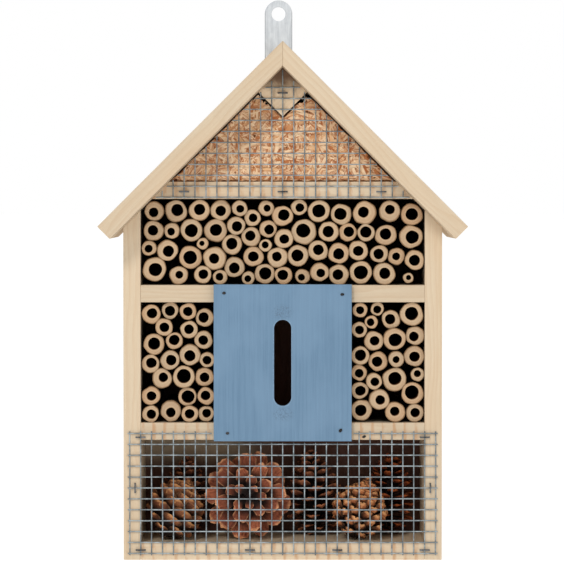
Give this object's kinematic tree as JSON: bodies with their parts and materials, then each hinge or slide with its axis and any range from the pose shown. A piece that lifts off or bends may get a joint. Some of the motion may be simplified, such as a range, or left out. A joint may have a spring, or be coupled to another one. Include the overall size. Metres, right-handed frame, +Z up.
{
  "type": "insect hotel",
  "caption": "Small wooden insect house with a pitched roof, rooms of bamboo canes, pine cones and shavings behind wire mesh, a slotted butterfly panel and a hanging strip.",
  "frame": {"origin": "on the underside, in the middle of the width and of the whole depth with the roof overhang and the hanger counted in", "axes": "+X to the right seen from the front, +Y from the front to the back, +Z up to the hanging hole"},
  "size_m": [0.212, 0.0914, 0.3294],
  "materials": {
    "bamboo": "cut bamboo",
    "blue_paint": "plywood with a matt blue stain",
    "galvanised_plate": "zinc coated strip",
    "galvanised_wire": "zinc coated wire",
    "nail_steel": "dull steel, slightly rusted",
    "pine": "planed softwood, untreated",
    "pine_cone": "dry open pine cones",
    "plywood": "thin plywood, untreated",
    "shavings": "loose pine shavings",
    "staple_steel": "dull steel"
  },
  "bodies": {
    "root": {"back_panel": "plywood", "back_panel_nails": "nail_steel", "bottom_board": "pine", "butterfly_panel": "blue_paint", "divider_nails": "nail_steel", "front_left_cone": "pine_cone", "front_middle_cone": "pine_cone", "front_right_cone": "pine_cone", "gable_beam": "pine", "gable_mesh": "galvanised_wire", "gable_mesh_staples": "staple_steel", "hanger_plate": "galvanised_plate", "hanger_screws": "nail_steel", "left_divider": "pine", "left_narrow_canes": "bamboo", "left_roof_board": "pine", "left_roof_nails": "nail_steel", "left_side_board": "pine", "left_side_nails": "nail_steel", "left_wide_canes": "bamboo", "lower_mesh": "galvanised_wire", "lower_mesh_staples": "staple_steel", "lower_shelf": "pine", "mesh_nail": "nail_steel", "panel_nails": "nail_steel", "rear_left_cone": "pine_cone", "rear_middle_cone": "pine_cone", "rear_right_cone": "pine_cone", "ridge_batten": "pine", "right_divider": "pine", "right_narrow_canes": "bamboo", "right_roof_board": "pine", "right_roof_nails": "nail_steel", "right_side_board": "pine", "right_side_nails": "nail_steel", "right_wide_canes": "bamboo", "upper_narrow_canes": "bamboo", "upper_shelf": "pine", "upper_wide_canes": "bamboo", "wood_shavings": "shavings"}
  },
  "joints": []
}
